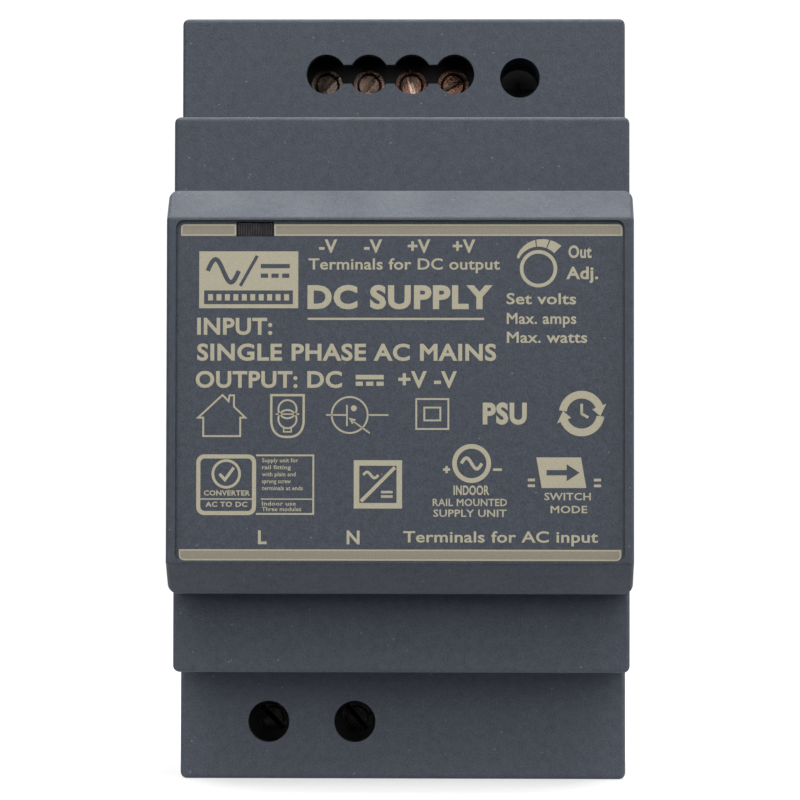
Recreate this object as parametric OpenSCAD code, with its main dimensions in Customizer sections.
// DIN rail power supply, three modules wide, on a 35 mm top hat rail.
//
// Frame: the origin is the middle of the rail seat. +X is to the right along the rail, +Z is up,
// and the front of the case faces -Y. Most depths are therefore given as a distance s in front of
// the rail seat, so that y = -s, and s is negative behind the seat.

/* [Case] */
// Width of the case, three 17.5 mm modules
case_w = 52.5; // [52.3:0.1:53]
// Height of the case, across the rail
case_h = 90; // [89.8:0.1:90.6]
// Height of the middle step
mid_h = 64; // [63.6:0.1:64.6]
// Height of the front block at the foot of its sloping faces
block_h = 45.7; // [45.4:0.1:46.2]
// Height of the flat front panel
panel_h = 38.86; // [38.6:0.02:39.2]
// Depth of the case behind the rail seat
back_s = 5.5; // [5.3:0.1:6]
// Rail seat to the joint between the two housing shells
split_s = 18.5; // [18.3:0.1:18.9]
// Rail seat to the terminal shelves
shelf_s = 26; // [25.8:0.1:26.6]
// Rail seat to the middle step
mid_s = 38; // [37.6:0.1:38.6]
// Rail seat to the foot of the sloping faces
slope_s = 45.1; // [44.8:0.1:45.4]
// Rail seat to the front panel's rim
front_s = 49; // [48.8:0.1:49.4]
// Wall thickness of both shells
wall = 1.8; // [1.7:0.1:1.9]
// Radius of the outer edges
edge_r = 0.5; // [0.3:0.1:0.7]
// Corner radius of the case and the middle step, seen from the front
corner_r = 0.85; // [0.7:0.05:1]
// Corner radius of the front block, seen from the front
block_r = 1.2; // [0.8:0.1:1.6]
// Width of the sunken panel in the front face
recess_w = 50.4; // [50:0.1:50.8]
// Depth of the sunken panel
recess_deep = 0.45; // [0.3:0.05:0.6]

/* [Rail and latch] */
// Width of the rail that the case is made for
rail_w = 35; // [34.9:0.05:35.1]
// Overlap of the hook behind the rail's edge
hook_bite = 1.7; // [1.4:0.1:1.9]
// Depth of the reliefs in the seat under the hook and the latch
relief_deep = 0.3; // [0.2:0.05:0.4]
// Width of the latch slider
latch_w = 18; // [17:0.5:19]
// Travel of the latch
latch_travel = 3.5; // [3:0.1:4]
// Mean radius of the latch spring
spring_r = 1.35; // [1.25:0.05:1.4]
// Radius of the latch spring's wire
spring_wire_r = 0.2; // [0.15:0.01:0.22]
// Turns of the latch spring
spring_turns = 9; // [6:1:10]

/* [Terminals] */
// Distance between two output terminals
out_pitch = 5.08; // [5:0.02:5.16]
// Middle of the row of holes above the output screws
out_x = -1.58; // [-1.8:0.02:-1.4]
// Height of the holes above the output terminal screws
out_z = 38.39; // [38.3:0.01:38.5]
// Distance of the output screws to the left of their holes' middles
out_dx = 0.2; // [0:0.05:0.25]
// Distance of the output screws below their holes' middles
out_dz = 0.25; // [0:0.05:0.3]
// Distance between the two input terminals
in_pitch = 10.16; // [10:0.02:10.3]
// Middle of the input terminal pair
in_x = -10.73; // [-10.9:0.01:-10.5]
// Depth below the rail's middle of the input terminal screws
in_z = 38.27; // [38.2:0.01:38.5]
// Radius of the holes above the output screws
out_hole_r = 2.35; // [2.2:0.05:2.45]
// Height of the gap that joins the holes above the output screws
out_web = 2.27; // [2:0.01:2.4]
// Radius of the holes above the input screws
in_hole_r = 2.44; // [2.3:0.02:2.5]
// Radius of the wire holes in the end faces
wire_r = 1.9; // [1.8:0.05:1.95]
// Radius of the terminal screws' heads
head_r = 2.05; // [2:0.01:2.08]
// Radius of the terminal screws' shanks
shank_r = 1.3; // [1.25:0.01:1.3]
// Running clearance around a screw in its clamp
shank_gap = 0.05; // [0.03:0.01:0.08]

/* [Trimmer and light] */
// Sideways place of the trimmer
trim_x = 13.79; // [13.6:0.01:14]
// Height of the trimmer
trim_z = 37.94; // [37.8:0.01:38.1]
// Radius of the hole above the trimmer
trim_hole_r = 2.37; // [2.2:0.01:2.5]
// Left edge of the status window
led_x = -18.38; // [-18.5:0.01:-18.3]
// Width of the status window
led_w = 4.17; // [3.9:0.01:4.3]
// Lower edge of the status window
led_z = 17.36; // [17.3:0.01:17.4]
// Height of the status window
led_h = 1.63; // [1.5:0.01:1.7]

/* [Circuit] */
// Thickness of the circuit board
board_t = 1.6; // [1.5:0.1:1.7]
// Diameter of the mains capacitor
bulk_d = 18; // [16:0.5:18]
// Height of the mains capacitor
bulk_h = 36; // [30:0.5:38]
// Diameter of the output capacitors
out_cap_d = 10; // [8:0.5:10]
// Height of the output capacitors
out_cap_h = 20; // [16:0.5:22]

/* [Hidden] */
$fn = 48;

// Levels in front of the rail seat
seat_wall = 2;
board_s = 4.5;
board_top = board_s + board_t;
pin_tip = 3.4;
sheet_s = 2.1;
sheet_t = 0.25;
clamp_s = 7;
head_s = 15.1;
head_h = 1.4;
lip = 0.2;
block_top = 17.3;

// Half sizes
half_w = case_w / 2;
half_h = case_h / 2;
in_w = half_w - wall;
in_h = half_h - wall;
slope_angle = atan2(front_s - slope_s, (block_h - panel_h) / 2);
panel_s = front_s - recess_deep;

// Snap windows, in front of the rail seat
window_s0 = split_s - 5.5;
window_s1 = split_s - 3.6;

// Round ejector marks on the back of the legs
mark_x = 19;
mark_z = 31;
mark_r = 1.8;
mark_deep = 0.2;

// Joint between the shells
tongue_t = 0.9;
tongue_deep = 2;
tongue_gap = 0.05;
snap_z = 26;
snap_w = 6;
snap_gap = 0.3;

// Latch
slot_h = rail_w / 2 + 0.2;
jaw_z = rail_w / 2 - hook_bite;
gap = 0.3;
relief_z = jaw_z - 0.2;
latch_s = -1.3;
latch_t = 3.4;
flange_t = 1.3;
flange_w = 1.5;
latch_foot = -half_h + 0.2;
spring_s = -3;
spring_top = -22;
spring_foot = -34;
spring_peg_r = 0.85;
stop_h = 2;
pocket_w = 3.8;
pry_w = 7;
pry_h = 2.4;
rib_w = 0.6;

// Terminals, in the frame of one pole: x across, z towards the wire hole
out_holes = [for (i = [0:3]) out_x + (i - 1.5) * out_pitch];
out_xs = [for (x = out_holes) x - out_dx];
out_pole_z = out_z - out_dz;
in_xs = [for (i = [0:1]) in_x + (i - 0.5) * in_pitch];
clamp_w = 3.8;
clamp_d = 4.2;
clamp_wall = 0.6;
clamp_floor = 0.7;
clamp_top = 11.7;
clamp_top_t = 1.2;
bar_s = 10.3;
bar_t = 0.8;
bar_w = 2.3;
wire_s = 9;
cell_w = 4.1;
cell_in = 3.4;
cell_out = 2.8;
leg_z = -3.3;
slot_angles = [45, 50, 105, 30];
slot_w = 0.6;
groove_in = 1.2;
groove_out = 1.5;
block_side = cell_w / 2 + 1.4;
block_out = 4.6;

// Lead positions on the board, as [x, z]
fuse_at = [5, -38];
varistor_at = [15, -38];
thermistor_at = [22, -27];
filter_at = [-12, -27];
choke_at = [10.6, -26];
bridge_at = [3, -16.4];
bulk_at = [-14.3, -10];
transformer_at = [8, 3];
safety_at = [[-13, 3.6], [-13, 14.6]];
opto_at = [-9.5, 9.1];
out_caps_at = [[-10, 24.4], [1, 24.4], [12, 24.4]];
out_choke_at = [20, 22];
transistor_at = [22.2, -15];
rectifier_at = [-22.2, 7.4];
corner_x = 21.4;
corner_z = 40.4;
lamp_x = -16.98;

function pair(at, dx, dz) = [[at[0] - dx, at[1] - dz], [at[0] + dx, at[1] + dz]];
function row(at, n, dx, dz) = [
    for (i = [0:n - 1]) [at[0] + (i - (n - 1) / 2) * dx, at[1] + (i - (n - 1) / 2) * dz]
];
fuse_pins = pair(fuse_at, 2.54, 0);
varistor_pins = pair(varistor_at, 3.75, 0);
thermistor_pins = pair(thermistor_at, 0, 2.5);
filter_pins = pair(filter_at, 7.5, 0);
choke_pins = concat(pair(choke_at, 5, 3), pair(choke_at, 5, -3));
bridge_pins = row(bridge_at, 4, 3.8, 0);
bulk_pins = pair(bulk_at, 3.75, 0);
transformer_pins_at = concat(
    row([transformer_at[0], transformer_at[1] - 7.5], 4, 5, 0),
    row([transformer_at[0], transformer_at[1] + 7.5], 4, 5, 0)
);
safety_pins = [for (at = safety_at) each pair(at, 2.5, 0)];
opto_pins = concat(pair(opto_at, 1.27, 3.81), pair(opto_at, -1.27, 3.81));
out_cap_pins = [for (at = out_caps_at) each pair(at, 2.5, 0)];
out_choke_pins = pair(out_choke_at, 0, 2);
transistor_pins = row([transistor_at[0] - 2.4, transistor_at[1]], 3, 0, 2.54);
rectifier_pins = row([rectifier_at[0] + 2.4, rectifier_at[1]], 3, 0, 2.54);
sink_pins = concat(pair([22.8, -15], 0, 5), pair([-22.8, 7.4], 0, 5.5));
trimmer_pins = pair([trim_x, trim_z], 2.54, 2.54);
board_pins = concat(
    fuse_pins, varistor_pins, thermistor_pins, filter_pins, choke_pins, bridge_pins, bulk_pins,
    transformer_pins_at, safety_pins, opto_pins, out_cap_pins, out_choke_pins, transistor_pins,
    rectifier_pins, sink_pins, trimmer_pins
);
pin_r = 0.35;
pin_hole_r = 0.45;

// Common mode choke: a ring core on edge with two windings
choke_mid = board_top + 10.6;
choke_r = 9;
choke_hole = 4.6;
choke_t = 6;
choke_skin = 0.9;

// Mains capacitor, and power parts with a screwed tab
bulk_r = bulk_d / 2;
tab_t = 1.3;
tab_hole_r = 1.8;
tab_w = 10.2;
tab_s = board_top + 20.5;

// Transformer: a core with a round middle leg, a bobbin, its winding and its tape
core_s = board_top + 2.4;
core_h = 22;
core_half = 5;
core_wall = 2.5;
leg_r = 4;
window_r = 7.6;
coil_foot = core_s + core_wall + 0.95;
coil_top = core_s + core_h - core_wall - 0.95;

// Small parts soldered to the back of the board
chip_x = 0;
chip_z = -10.05;
chip_pitch = 1.27;
chip_lead_w = 0.4;
chip_grid = [3, 22];

// Colours
case_colour = [0.30, 0.32, 0.36];
black = [0.06, 0.06, 0.07];
steel = [0.62, 0.60, 0.58];
nickel = [0.56, 0.46, 0.40];
copper = [0.72, 0.42, 0.24];
tin = [0.72, 0.72, 0.73];
ferrite = [0.16, 0.16, 0.17];

// A box between two values on each axis, with s counted forward from the rail seat
module slab(x0, x1, s0, s1, z0, z1) {
    translate([x0, -s1, z0]) cube([x1 - x0, s1 - s0, z1 - z0]);
}

// A round bar along the depth
module post(x, z, r, s0, s1) {
    translate([x, -s0, z]) rotate([90, 0, 0]) cylinder(h = s1 - s0, r = r);
}

// A round bar that stands upright
module rod(x, s, r, z0, z1) {
    translate([x, -s, z0]) cylinder(h = z1 - z0, r = r);
}

// A rounded rectangle
module round_rect(w, h, r) {
    square([w - 2 * r, h], center = true);
    square([w, h - 2 * r], center = true);
    for (i = [-1, 1], j = [-1, 1]) {
        translate([i * (w / 2 - r), j * (h / 2 - r)]) circle(r);
    }
}

// A rounded rectangle, extruded along the depth
module plate(w, h, r, s0, s1) {
    translate([0, -s0, 0]) rotate([90, 0, 0]) linear_extrude(s1 - s0) round_rect(w, h, r);
}

// A flat front with its two upright edges rounded, extruded upright, with its face at y = 0
module soft_face(w, deep, r, h) {
    linear_extrude(h, center = true) {
        translate([-w / 2, r]) square([w, deep - r]);
        translate([-w / 2 + r, 0]) square([w - 2 * r, 2 * r]);
        for (i = [-1, 1]) {
            translate([i * (w / 2 - r), r]) circle(r);
        }
    }
}

// Points of a rounded corner at b between a and c
function corner(a, b, c, r, n) =
    let (
        u = (a - b) / norm(a - b),
        v = (c - b) / norm(c - b),
        half = acos(u * v) / 2,
        mid = (u + v) / norm(u + v),
        centre = b + mid * r / sin(half),
        first = b + u * r / tan(half) - centre,
        last = b + v * r / tan(half) - centre,
        a0 = atan2(first[1], first[0]),
        turn = atan2(first[0] * last[1] - first[1] * last[0], first * last)
    )
    [for (i = [0:n]) centre + r * [cos(a0 + turn * i / n), sin(a0 + turn * i / n)]];

// A closed outline with every corner rounded by its own radius
function rounded(points, radii, n = 5) = [
    for (i = [0:len(points) - 1])
        each corner(
            points[(i + len(points) - 1) % len(points)],
            points[i],
            points[(i + 1) % len(points)],
            radii[i],
            n
        )
];

// The stepped side outline of the front cover, as [y, z] points
module cover_outline() {
    top = [
        [-split_s, half_h], [-shelf_s, half_h], [-shelf_s, mid_h / 2], [-mid_s, mid_h / 2],
        [-mid_s, block_h / 2], [-slope_s, block_h / 2], [-front_s, panel_h / 2]
    ];
    bottom = [for (i = [len(top) - 1:-1:0]) [top[i][0], -top[i][1]]];
    radii = [0.05, edge_r, 0.2, edge_r, 0.2, 2 * edge_r, edge_r];
    polygon(rounded(concat(top, bottom), concat(radii, [for (i = [6:-1:0]) radii[i]])));
}

// One step of the cover, with rounded corners and upright edges
module cover_step(h, s, r) {
    intersection() {
        plate(case_w, h, r, split_s, s);
        translate([0, -s, 0]) soft_face(case_w, s, edge_r, h);
    }
}

// The front block's rounded edges beside its sloping faces
module slope_edges() {
    translate([0, -slope_s, block_h / 2]) rotate([-slope_angle, 0, 0]) {
        soft_face(case_w, 80, edge_r, 160);
    }
}

module cover_outside() {
    intersection() {
        rotate([90, 0, 90]) linear_extrude(case_w + 2, center = true) cover_outline();
        union() {
            cover_step(case_h, shelf_s, corner_r);
            cover_step(mid_h, mid_s, corner_r);
            intersection() {
                cover_step(block_h, front_s, block_r);
                slope_edges();
                mirror([0, 0, 1]) slope_edges();
            }
        }
    }
}

// The hollow of the cover, one wall inside each face
module cover_inside() {
    flat_in = panel_h / 2 - wall * tan((90 - slope_angle) / 2);
    slab(-in_w, in_w, split_s - 1, shelf_s - wall, -in_h, in_h);
    slab(-in_w, in_w, split_s - 1, mid_s - wall, wall - mid_h / 2, mid_h / 2 - wall);
    inner_foot = slope_s - wall * tan(slope_angle / 2);
    foot_z = block_h / 2 - wall;
    rotate([90, 0, 90]) linear_extrude(2 * in_w, center = true) polygon([
        [-split_s, foot_z], [-inner_foot, foot_z], [wall - front_s, flat_in],
        [wall - front_s, -flat_in], [-inner_foot, -foot_z], [-split_s, -foot_z]
    ]);
}

// One ventilation slot through an end wall
module vent(x, s0, s1, w, z0, z1) {
    slab(x - w / 2, x + w / 2, s0 + w / 2, s1 - w / 2, z0, z1);
    rod(x, s0 + w / 2, w / 2, z0, z1);
    rod(x, s1 - w / 2, w / 2, z0, z1);
}

// The tongue that locates the cover inside the base, with its four snap arms
module cover_tongue() {
    difference() {
        union() {
            plate(2 * (in_w - tongue_gap), 2 * (in_h - tongue_gap), 0.3,
                  split_s - tongue_deep, split_s);
            plate(2 * in_w + 0.2, 2 * in_h + 0.2, 0.3, split_s, split_s + tongue_deep);
        }
        plate(2 * (in_w - tongue_t), 2 * (in_h - tongue_t), 0.3,
              split_s - tongue_deep - 1, split_s + tongue_deep + 1);
    }
    for (side = [0, 1], z = [-snap_z, snap_z]) {
        mirror([side, 0, 0]) {
            slab(in_w - tongue_t, in_w - tongue_gap, window_s0 - 0.1, split_s, z - snap_w / 2,
                 z + snap_w / 2);
            slab(in_w - tongue_t, half_w - 0.35, window_s0, window_s1, z - snap_w / 2,
                 z + snap_w / 2);
        }
    }
}

module front_cover() color(case_colour) {
    difference() {
        union() {
            difference() {
                cover_outside();
                cover_inside();
            }
            cover_tongue();
            for (i = [-1, 1], j = [-1, 1]) {
                slab(i * corner_x - 1, i * corner_x + 1, board_top, shelf_s - wall + 0.2,
                     j * corner_z - 1, j * corner_z + 1);
            }
            post(trim_x, trim_z, trim_hole_r + 0.9, 14, shelf_s - wall + 0.2);
        }
        plate(recess_w, panel_h - 0.56, 0.9, panel_s, front_s + 1);
        slab(out_xs[0] - block_side, out_xs[3] + block_side, split_s - tongue_deep - 1,
             block_top + 0.3, out_pole_z, in_h);
        slab(in_xs[0] - block_side, in_xs[1] + block_side, split_s - tongue_deep - 1,
             block_top + 0.3, -in_h, -in_z);
        for (x = out_holes) {
            post(x, out_z, out_hole_r, shelf_s - wall - 0.5, shelf_s + 1);
        }
        slab(out_holes[0], out_holes[3], shelf_s - wall - 0.5, shelf_s + 1,
             out_z - out_web / 2, out_z + out_web / 2);
        for (x = in_xs) {
            post(x, -in_z, in_hole_r, shelf_s - wall - 0.5, shelf_s + 1);
        }
        post(trim_x, trim_z, trim_hole_r, 13, shelf_s + 1);
        slab(led_x, led_x + led_w, mid_s, front_s + 1, led_z, led_z + led_h);
        for (x = [-22:4:22], side = [0, 1]) {
            mirror([0, 0, side]) vent(x, shelf_s + 2.4, mid_s - 2.2, 1.8, mid_h / 2 - wall - 1,
                                      mid_h / 2 + 1);
        }
    }
}

// The outer block of the base
module base_outside() {
    intersection() {
        plate(case_w, case_h, corner_r, -back_s, split_s);
        translate([0, back_s, 0]) mirror([0, 1, 0]) {
            soft_face(case_w, back_s + split_s, edge_r, case_h);
        }
    }
}

// The channel of the latch, with a groove in each side
module latch_channel() {
    half = latch_w / 2 + gap;
    slab(-half, half, -back_s - 1, latch_s + gap, -half_h - 1, -slot_h + 1);
    slab(-half - flange_w, half + flange_w, latch_s - flange_t - gap, latch_s + gap,
         -half_h - 1, -slot_h + 1);
}

module rail_slot() {
    slab(-half_w - 1, half_w + 1, -1.2, 0, -slot_h, slot_h);
    slab(-half_w - 1, half_w + 1, -back_s - 1, -1.1, -slot_h, jaw_z);
    translate([0, 2.6, jaw_z]) rotate([-30, 0, 0]) {
        translate([-half_w - 1, 0, -3]) cube([case_w + 2, 8, 3]);
    }
}

module base_housing() color(case_colour) {
    leg_in = slot_h + wall;
    leg_back = wall - back_s;
    side_in = latch_w / 2 + flange_w + gap + wall;
    difference() {
        base_outside();
        slab(-in_w, in_w, seat_wall, split_s + 1, -in_h, in_h);
        slab(-in_w, in_w, leg_back, seat_wall + 1, leg_in, in_h);
        for (side = [0, 1]) {
            mirror([side, 0, 0]) slab(side_in, in_w, leg_back, seat_wall + 1, -in_h, -leg_in);
            for (z = [-snap_z, snap_z]) {
                mirror([side, 0, 0]) slab(
                    in_w - 1, half_w + 1, window_s0 - snap_gap, window_s1 + snap_gap,
                    z - snap_w / 2 - snap_gap, z + snap_w / 2 + snap_gap);
            }
        }
        rail_slot();
        for (i = [0, 1]) {
            mirror([0, 0, i]) slab(-half_w - 1, half_w + 1, -1, relief_deep, relief_z, slot_h);
        }
        latch_channel();
        for (x = out_xs) {
            rod(x, wire_s, wire_r, in_h - 1, half_h + 1);
        }
        for (x = in_xs) {
            rod(x, wire_s, wire_r, -half_h - 1, -in_h + 1);
        }
        for (x = [-22.5, -19, -15.5, 12.5, 16, 19.5, 23]) {
            vent(x - 0.25, 8.2, 15.4, 1.6, in_h - 1, half_h + 1);
        }
        for (x = [2.2:3.5:23.2]) {
            vent(x - 0.25, 8.2, 15.4, 1.6, -half_h - 1, -in_h + 1);
        }
        difference() {
            plate(case_w + 2, case_h + 2, 0.2, split_s - 0.25, split_s + 1);
            plate(case_w - 0.4, case_h - 0.4, corner_r - 0.2, split_s - 1, split_s + 2);
        }
        for (x = [-mark_x, mark_x], z = [-mark_z, mark_z]) {
            post(x, z, mark_r, -back_s - 1, mark_deep - back_s);
        }
    }
    for (i = [-1, 1], j = [-1, 1]) {
        post(i * corner_x, j * corner_z, 1.6, leg_back - 0.2, board_s);
    }
    slab(-pocket_w / 2 + gap, pocket_w / 2 - gap, latch_s - latch_t + 0.1,
         latch_s + gap + 0.1, spring_foot - stop_h, spring_foot);
    rod(0, spring_s, spring_peg_r, spring_foot - 0.1, spring_foot + 1.5);
}

module rail_latch() color(black) {
    half = latch_w / 2;
    back = latch_s - latch_t;
    difference() {
        union() {
            slab(-half, half, back, latch_s, latch_foot, -jaw_z);
            slab(-half - flange_w, half + flange_w, latch_s - flange_t, latch_s, latch_foot,
                 -slot_h - 1.4);
        }
        slab(-pocket_w / 2, pocket_w / 2, back - 1, latch_s + 1, spring_foot - stop_h - gap,
             spring_top);
        slab(-pry_w / 2, pry_w / 2, back - 1, latch_s + 1, latch_foot + 2,
             latch_foot + 2 + pry_h);
        translate([0, -back, -jaw_z - 2.6]) rotate([40, 0, 0]) {
            translate([-half - 1, 0, 0]) cube([latch_w + 2, 4, 8]);
        }
        for (i = [0:3], side = [0, 1]) {
            mirror([side, 0, 0]) slab(4.6 + i, 4.6 + i + rib_w, back - 1, back + 0.35,
                                      latch_foot + 1.4, latch_foot + 5.2);
        }
    }
    rod(0, spring_s, spring_peg_r, spring_top - 1.5, spring_top + 0.1);
}

// A helix of round wire that rises along Z
module coil(r, wire, turns, length, sides = 8, steps = 14) {
    n = turns * steps;
    rise = atan2(length, 360 * turns * r * PI / 180);
    rings = [
        for (i = [0:n], k = [0:sides - 1])
            let (a = 360 * i / steps, b = 360 * k / sides, q = r + wire * cos(b))
            [
                q * cos(a) + wire * sin(b) * sin(rise) * sin(a),
                q * sin(a) - wire * sin(b) * sin(rise) * cos(a),
                length * i / n + wire * sin(b) * cos(rise)
            ]
    ];
    walls = [
        for (i = [0:n - 1], k = [0:sides - 1])
            let (p = i * sides + k, q = i * sides + (k + 1) % sides)
            [p, q, q + sides, p + sides]
    ];
    foot = [for (k = [sides - 1:-1:0]) k];
    top = [for (k = [0:sides - 1]) n * sides + k];
    polyhedron(rings, concat([foot], walls, [top]));
}

module latch_spring() color(steel) {
    clear = spring_wire_r + 0.05;
    translate([0, -spring_s, spring_foot + clear]) {
        coil(spring_r, spring_wire_r, spring_turns, spring_top - spring_foot - 2 * clear);
    }
}

// Places one child at each terminal pole
module pole(x, z, down) {
    translate([x, 0, z]) mirror([0, 0, down ? 1 : 0]) children();
}

// The hollow of one pole in a terminal block
module pole_hollow() {
    slab(-cell_w / 2, cell_w / 2, clamp_s - 0.1, head_s - 0.1, -cell_in, cell_out);
    post(0, 0, head_r + 0.15, head_s - 0.2, head_s + head_h + 0.1);
    post(0, 0, head_r - lip, head_s + head_h, block_top + 1);
    slab(-bar_w / 2 - 0.1, bar_w / 2 + 0.1, board_top - 1, clamp_s, leg_z - 0.1,
         leg_z + bar_t + 0.1);
    slab(-bar_w / 2 - 0.05, bar_w / 2 + 0.05, bar_s - 0.05, bar_s + bar_t + 0.05, 0,
         cell_out + 0.75);
    translate([0, -wire_s, cell_out - 0.1]) cylinder(h = 2.4, r1 = 1.25, r2 = wire_r);
}

// A moulded terminal block with its poles at the given places
module terminal_block(xs, z, down) {
    x0 = xs[0] - cell_w / 2 - 1;
    x1 = xs[len(xs) - 1] + cell_w / 2 + 1;
    difference() {
        pole(0, z, down) slab(x0, x1, board_top, block_top, -cell_in - 1, block_out);
        for (x = xs) {
            pole(x, z, down) pole_hollow();
        }
    }
}

// The fixed bar that a wire is clamped against, bent down to its leg in the board
module contact() {
    slab(-bar_w / 2, bar_w / 2, bar_s, bar_s + bar_t, leg_z, cell_out + 0.7);
    slab(-bar_w / 2, bar_w / 2, board_top + 0.05, bar_s + 0.1, leg_z, leg_z + bar_t);
    slab(-0.5, 0.5, pin_tip, board_top + 0.1, leg_z, leg_z + bar_t);
}

// The rising clamp around a wire, threaded on its screw
module clamp() {
    difference() {
        slab(-clamp_w / 2, clamp_w / 2, clamp_s, clamp_top + clamp_top_t, -clamp_d / 2,
             clamp_d / 2);
        slab(-clamp_w / 2 + clamp_wall, clamp_w / 2 - clamp_wall, clamp_s + clamp_floor,
             clamp_top, -clamp_d, clamp_d);
        post(0, 0, shank_r + shank_gap, clamp_top - 1, clamp_top + clamp_top_t + 1);
    }
}

// A slotted terminal screw with a ring groove in its head
module terminal_screw(slot_angle) {
    tip = bar_s + bar_t + 0.05;
    face = head_s + head_h;
    difference() {
        union() {
            post(0, 0, shank_r, tip, head_s + 0.1);
            post(0, 0, head_r, head_s, face);
        }
        difference() {
            post(0, 0, groove_out, face - 0.6, face + 1);
            post(0, 0, groove_in, face - 1, face + 2);
        }
        rotate([0, -slot_angle, 0]) rotate([90, 0, 90]) {
            linear_extrude(2 * head_r + 1, center = true) polygon([
                [-face - 1, -slot_w / 2], [-face - 1, slot_w / 2], [0.4 - face, slot_w / 2],
                [0.75 - face, 0], [0.4 - face, -slot_w / 2]
            ]);
        }
    }
}

module output_terminal_block() color(black) terminal_block(out_xs, out_pole_z, false);
module input_terminal_block() color(black) terminal_block(in_xs, -in_z, true);

module output_contacts() color(tin) {
    for (x = out_xs) {
        pole(x, out_pole_z, false) contact();
    }
}

module input_contacts() color(tin) {
    for (x = in_xs) {
        pole(x, -in_z, true) contact();
    }
}

module output_screw(i) color(nickel) {
    pole(out_xs[i], out_pole_z, false) terminal_screw(slot_angles[i]);
}
module output_clamp(i) color(steel) pole(out_xs[i], out_pole_z, false) clamp();
module input_screw(i) color(nickel) pole(in_xs[i], -in_z, true) terminal_screw(slot_angles[i]);
module input_clamp(i) color(steel) pole(in_xs[i], -in_z, true) clamp();

// Leads that pass through the board
module leads(places, top, r = pin_r) {
    for (at = places) {
        post(at[0], at[1], r, pin_tip, top);
    }
}

module main_board() color([0.10, 0.30, 0.16]) {
    difference() {
        slab(-in_w + 0.8, in_w - 0.8, board_s, board_top, -in_h + 0.6, in_h - 0.6);
        for (at = board_pins) {
            post(at[0], at[1], pin_hole_r, board_s - 1, board_top + 1);
        }
        for (x = out_xs) {
            pole(x, out_pole_z, false) slab(-0.6, 0.6, board_s - 1, board_top + 1,
                                            leg_z - 0.1, leg_z + bar_t + 0.1);
        }
        for (x = in_xs) {
            pole(x, -in_z, true) slab(-0.6, 0.6, board_s - 1, board_top + 1, leg_z - 0.1,
                                      leg_z + bar_t + 0.1);
        }
    }
}

module insulation_sheet() color([0.75, 0.76, 0.70]) {
    difference() {
        slab(-in_w + 0.5, in_w - 0.5, sheet_s, sheet_s + sheet_t, -in_h + 0.5, in_h - 0.5);
        for (i = [-1, 1], j = [-1, 1]) {
            post(i * corner_x, j * corner_z, 1.9, 0, board_s);
        }
    }
}

module light_pipe() color([0.20, 0.19, 0.21]) {
    mid_z = led_z + led_h / 2;
    slab(led_x + 0.08, led_x + led_w - 0.08, mid_s + 2, panel_s - 0.05, led_z + 0.08,
         led_z + led_h - 0.12);
    slab(led_x - 0.5, led_x + led_w + 0.5, slope_s - 0.6, slope_s + 0.4, led_z - 1.1,
         led_z + 0.9);
    slab(lamp_x - 0.9, lamp_x + 0.9, board_top + 1.3, mid_s + 2.1, mid_z - 0.7, mid_z + 0.4);
}

module status_led() color([0.85, 0.9, 0.8]) {
    mid_z = led_z + led_h / 2;
    slab(lamp_x - 1, lamp_x + 1, board_top, board_top + 0.8, mid_z - 0.6, mid_z + 0.6);
    post(lamp_x, mid_z, 0.45, board_top + 0.7, board_top + 1.1);
}

module trimmer_body() color(black) {
    difference() {
        slab(trim_x - 3.4, trim_x + 3.4, board_top, board_top + 5.2, trim_z - 3.3, trim_z + 3.3);
        post(trim_x, trim_z, 0.95, board_top + 3, board_top + 6);
    }
    leads(trimmer_pins, board_top + 0.1);
}

module trimmer_rotor() color(black) {
    face = board_top + 6.4;
    difference() {
        union() {
            post(trim_x, trim_z, 0.9, board_top + 3.2, board_top + 5.6);
            post(trim_x, trim_z, 1.7, board_top + 5.4, face);
        }
        slab(trim_x - 2, trim_x + 2, face - 0.6, face + 1, trim_z - 0.25, trim_z + 0.25);
        slab(trim_x - 0.25, trim_x + 0.25, face - 0.6, face + 1, trim_z - 1, trim_z + 1);
    }
}

module fuse() color([0.35, 0.18, 0.10]) {
    post(fuse_at[0], fuse_at[1], 4.1, board_top + 0.6, board_top + 8);
    post(fuse_at[0], fuse_at[1], 3.6, board_top, board_top + 0.7);
    leads(fuse_pins, board_top + 0.1);
}

// A dipped disc part that stands on its edge, with straight leads
module disc_part(at, r, t, pins, along_x) {
    centre = board_top + r + 1.2;
    translate([at[0], -centre, at[1]]) rotate([0, along_x ? 0 : 90, 0]) {
        cylinder(h = t - 1, r = r, center = true);
        cylinder(h = t, r = r - 0.5, center = true);
    }
    leads(pins, centre - r / 2);
}

module varistor() color([0.10, 0.28, 0.62]) disc_part(varistor_at, 5, 3.6, varistor_pins, true);
module inrush_thermistor() color([0.14, 0.24, 0.16]) {
    disc_part(thermistor_at, 4.5, 2.8, thermistor_pins, false);
}

module filter_capacitor() color([0.80, 0.72, 0.20]) {
    x = filter_at[0];
    z = filter_at[1];
    slab(x - 9, x + 9, board_top + 0.4, board_top + 15, z - 4.2, z + 4.2);
    for (i = [-1, 1]) {
        slab(x + i * 8 - 0.6, x + i * 8 + 0.6, board_top, board_top + 0.5, z - 4, z + 4);
    }
    leads(filter_pins, board_top + 0.5);
}

// The common mode choke: a ring core on edge, with two windings on one base
module choke_core() color(ferrite) {
    translate([choke_at[0], -choke_mid, choke_at[1]]) rotate_extrude() {
        translate([choke_hole, -choke_t / 2]) square([choke_r - 1 - choke_hole, choke_t]);
    }
}

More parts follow.
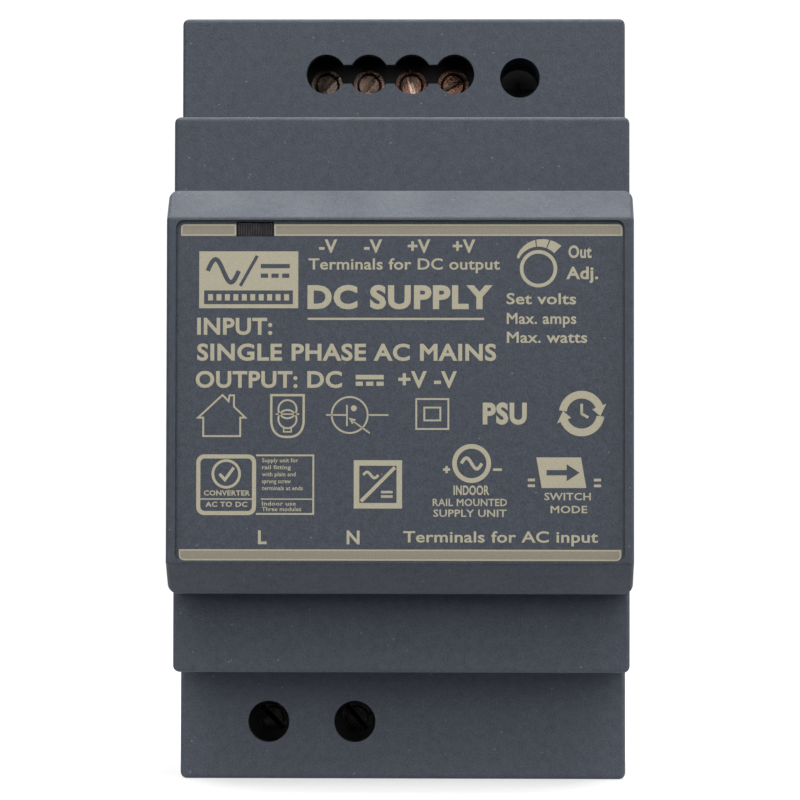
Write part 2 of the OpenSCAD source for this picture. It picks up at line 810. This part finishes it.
module choke_windings() color(copper) {
    gap_r = 0.06;
    for (start = [-60, 120]) {
        translate([choke_at[0], -choke_mid, choke_at[1]]) rotate([0, 0, start]) {
            rotate_extrude(angle = 120) difference() {
                translate([choke_hole - choke_skin, -choke_t / 2 - choke_skin]) square([
                    choke_r - 1 - choke_hole + 2 * choke_skin, choke_t + 2 * choke_skin
                ]);
                translate([choke_hole - gap_r, -choke_t / 2 - gap_r]) square([
                    choke_r - 1 - choke_hole + 2 * gap_r, choke_t + 2 * gap_r
                ]);
            }
        }
    }
}

module choke_base() color(black) {
    x = choke_at[0];
    z = choke_at[1];
    difference() {
        slab(x - 7.5, x + 7.5, board_top, board_top + 4.6, z - 4, z + 4);
        translate([x, -choke_mid, z]) cylinder(h = 20, r = choke_r + 0.1, center = true);
    }
    leads(choke_pins, board_top + 0.1);
}

module bridge_rectifier() color(black) {
    x = bridge_at[0];
    z = bridge_at[1];
    difference() {
        slab(x - 7.2, x + 7.2, board_top + 2, board_top + 13, z - 1.7, z + 1.7);
        translate([x + 7.2, -board_top - 13, z]) rotate([0, 0, 45]) cube([3, 3, 6], center = true);
    }
    leads(bridge_pins, board_top + 2.1);
}

module mains_capacitor_can() color([0.75, 0.76, 0.78]) {
    x = bulk_at[0];
    z = bulk_at[1];
    top = board_top + bulk_h;
    difference() {
        post(x, z, bulk_r - 0.3, board_top + 0.3, top);
        slab(x - 5, x + 5, top - 0.3, top + 1, z - 0.25, z + 0.25);
        slab(x - 0.25, x + 0.25, top - 0.3, top + 1, z - 5, z + 5);
    }
    leads(bulk_pins, board_top + 0.4, 0.4);
}

module mains_capacitor_sleeve() color([0.12, 0.16, 0.34]) {
    x = bulk_at[0];
    z = bulk_at[1];
    difference() {
        post(x, z, bulk_r, board_top, board_top + bulk_h - 0.4);
        post(x, z, bulk_r - 0.28, board_top - 1, board_top + bulk_h);
    }
}

// A flat power part screwed to a plate, in a frame with the plate at x = 0 and the part at x < 0
module power_part(z) {
    body_s = board_top + 8.2;
    difference() {
        slab(-tab_t, -0.05, body_s, body_s + 15.4, z - tab_w / 2, z + tab_w / 2);
        translate([0, -tab_s, z]) rotate([0, 90, 0]) cylinder(h = 10, r = tab_hole_r, center = true);
    }
    slab(-4.5, -tab_t + 0.1, body_s, body_s + 9, z - tab_w / 2 + 0.1, z + tab_w / 2 - 0.1);
}

module tab_screw(z) {
    translate([0, -tab_s, z]) rotate([0, 90, 0]) {
        translate([0, 0, -tab_t - 1.85]) cylinder(h = 1.8, r = 2.6);
        translate([0, 0, -tab_t - 0.5]) cylinder(h = tab_t + 1.7, r = 1.45);
    }
}

module heatsink_plate(z, half, top) {
    difference() {
        union() {
            slab(0, 1.2, board_top + 0.2, top, z - half, z + half);
            slab(-1.8, 0.1, top - 1.2, top, z - half, z + half);
        }
        translate([0, -tab_s, z]) rotate([0, 90, 0]) cylinder(h = 10, r = 1.5, center = true);
    }
}

module switching_transistor() color(black) {
    translate([transistor_at[0], 0, 0]) power_part(transistor_at[1]);
    leads(transistor_pins, board_top + 8.4, 0.4);
}

module transistor_screw() color(steel) {
    translate([transistor_at[0], 0, 0]) tab_screw(transistor_at[1]);
}

module primary_heatsink() color(tin) {
    translate([transistor_at[0], 0, 0]) heatsink_plate(transistor_at[1], 6.4, board_top + 27);
    leads([sink_pins[0], sink_pins[1]], board_top + 0.3);
}

module output_rectifier() color(black) {
    translate([rectifier_at[0], 0, 0]) mirror([1, 0, 0]) power_part(rectifier_at[1]);
    leads(rectifier_pins, board_top + 8.4, 0.4);
}

module rectifier_screw() color(steel) {
    translate([rectifier_at[0], 0, 0]) mirror([1, 0, 0]) tab_screw(rectifier_at[1]);
}

module output_heatsink() color(tin) {
    translate([rectifier_at[0], 0, 0]) mirror([1, 0, 0]) {
        heatsink_plate(rectifier_at[1], 7.4, board_top + 26);
    }
    leads([sink_pins[2], sink_pins[3]], board_top + 0.3);
}

// A ring around the transformer's middle leg
module transformer_ring(r0, r1, s0, s1) {
    difference() {
        post(transformer_at[0], transformer_at[1], r1, s0, s1);
        post(transformer_at[0], transformer_at[1], r0, s0 - 1, s1 + 1);
    }
}

module transformer_core() color(ferrite) {
    x = transformer_at[0];
    z = transformer_at[1];
    difference() {
        slab(x - 10, x + 10, core_s, core_s + core_h, z - core_half, z + core_half);
        transformer_ring(leg_r, window_r, core_s + core_wall, core_s + core_h - core_wall);
        for (i = [-1, 1]) {
            slab(x - 11, x + 11, core_s + core_h / 2 - 0.05, core_s + core_h / 2 + 0.05,
                 z + i * core_half - 0.15, z + i * core_half + 0.15);
        }
    }
}

module transformer_bobbin() color([0.20, 0.19, 0.18]) {
    x = transformer_at[0];
    z = transformer_at[1];
    foot = core_s + core_wall + 0.1;
    top = core_s + core_h - core_wall - 0.1;
    transformer_ring(leg_r + 0.1, leg_r + 0.8, foot, top);
    transformer_ring(leg_r + 0.1, window_r - 0.2, top - 0.8, top);
    transformer_ring(leg_r + 0.1, window_r - 0.2, foot, foot + 0.8);
    for (i = [0, 1]) {
        translate([0, 0, z]) mirror([0, 0, i]) {
            slab(x - 9.5, x + 9.5, board_top, foot + 0.8, core_half + 0.2, 9.2);
        }
    }
}

module transformer_winding() color(copper) {
    transformer_ring(leg_r + 0.85, window_r - 0.6, coil_foot, coil_top);
}

module transformer_tape() color([0.86, 0.74, 0.18]) {
    transformer_ring(window_r - 0.55, window_r - 0.3, coil_foot, coil_top);
}

module transformer_pins() color(tin) {
    for (at = transformer_pins_at) {
        post(at[0], at[1], pin_r, pin_tip, board_top);
    }
}

module safety_capacitors() color([0.16, 0.40, 0.72]) {
    for (i = [0, 1]) {
        disc_part(safety_at[i], 3.8, 3, [safety_pins[2 * i], safety_pins[2 * i + 1]], true);
    }
}

module optocoupler() color([0.88, 0.87, 0.82]) {
    x = opto_at[0];
    z = opto_at[1];
    slab(x - 2.3, x + 2.3, board_top + 0.4, board_top + 3.8, z - 3.2, z + 3.2);
    for (at = opto_pins) {
        side = at[1] > z ? 1 : -1;
        leads([at], board_top + 2, 0.3);
        slab(at[0] - 0.3, at[0] + 0.3, board_top + 1.7, board_top + 2, min(at[1], z + side * 3),
             max(at[1], z + side * 3));
    }
}

module controller_chip() color(black) {
    slab(chip_x, chip_x + 4.9, board_s - 1.6, board_s - 0.15, chip_z - 1.95, chip_z + 1.95);
    for (i = [0:3], side = [0, 1]) {
        x = chip_x + 0.35 + i * chip_pitch;
        translate([0, 0, chip_z]) mirror([0, 0, side]) {
            slab(x, x + chip_lead_w, board_s - 0.4, board_s, 1.9, 2.95);
        }
    }
}

module chip_parts() color([0.12, 0.11, 0.11]) {
    for (i = [0:5], j = [0:2]) {
        translate([i * chip_grid[0] - 9, 0, j * chip_grid[1] - 26]) {
            slab(0, 1.6, board_s - 0.6, board_s, 0, 0.8);
        }
    }
}

module output_capacitors() color([0.13, 0.20, 0.16]) {
    r = out_cap_d / 2;
    for (i = [0:2]) {
        x = out_caps_at[i][0];
        z = out_caps_at[i][1];
        difference() {
            union() {
                post(x, z, r, board_top + 1.6, board_top + out_cap_h - 0.3);
                post(x, z, r - 0.35, board_top + 1, board_top + out_cap_h);
                post(x, z, r, board_top, board_top + 1.1);
            }
            slab(x - 2.6, x + 2.6, board_top + out_cap_h - 0.2, board_top + out_cap_h + 1,
                 z - 0.2, z + 0.2);
        }
        leads([out_cap_pins[2 * i], out_cap_pins[2 * i + 1]], board_top + 0.1, 0.3);
    }
}

module output_choke_core() color(ferrite) {
    x = out_choke_at[0];
    z = out_choke_at[1];
    post(x, z, 1.9, board_top + 0.6, board_top + 13);
    post(x, z, 3.3, board_top, board_top + 0.8);
    post(x, z, 3.3, board_top + 12.8, board_top + 13.6);
    leads(out_choke_pins, board_top + 0.1);
}

module output_choke_coil() color(copper) {
    x = out_choke_at[0];
    z = out_choke_at[1];
    difference() {
        post(x, z, 3, board_top + 0.9, board_top + 12.7);
        post(x, z, 1.95, board_top, board_top + 13);
    }
}

base_housing();
front_cover();
light_pipe();
rail_latch();
latch_spring();
main_board();
insulation_sheet();
output_terminal_block();
output_contacts();
output_screw(0);  // output_screw_1
output_screw(1);  // output_screw_2
output_screw(2);  // output_screw_3
output_screw(3);  // output_screw_4
output_clamp(0);  // output_clamp_1
output_clamp(1);  // output_clamp_2
output_clamp(2);  // output_clamp_3
output_clamp(3);  // output_clamp_4
input_terminal_block();
input_contacts();
input_screw(0);  // input_screw_l
input_screw(1);  // input_screw_n
input_clamp(0);  // input_clamp_l
input_clamp(1);  // input_clamp_n
trimmer_body();
trimmer_rotor();
status_led();
fuse();
varistor();
inrush_thermistor();
filter_capacitor();
choke_core();
choke_windings();
choke_base();
bridge_rectifier();
mains_capacitor_can();
mains_capacitor_sleeve();
switching_transistor();
primary_heatsink();
transistor_screw();
transformer_core();
transformer_bobbin();
transformer_winding();
transformer_tape();
transformer_pins();
safety_capacitors();
optocoupler();
controller_chip();
chip_parts();
output_rectifier();
output_heatsink();
rectifier_screw();
output_capacitors();
output_choke_core();
output_choke_coil();
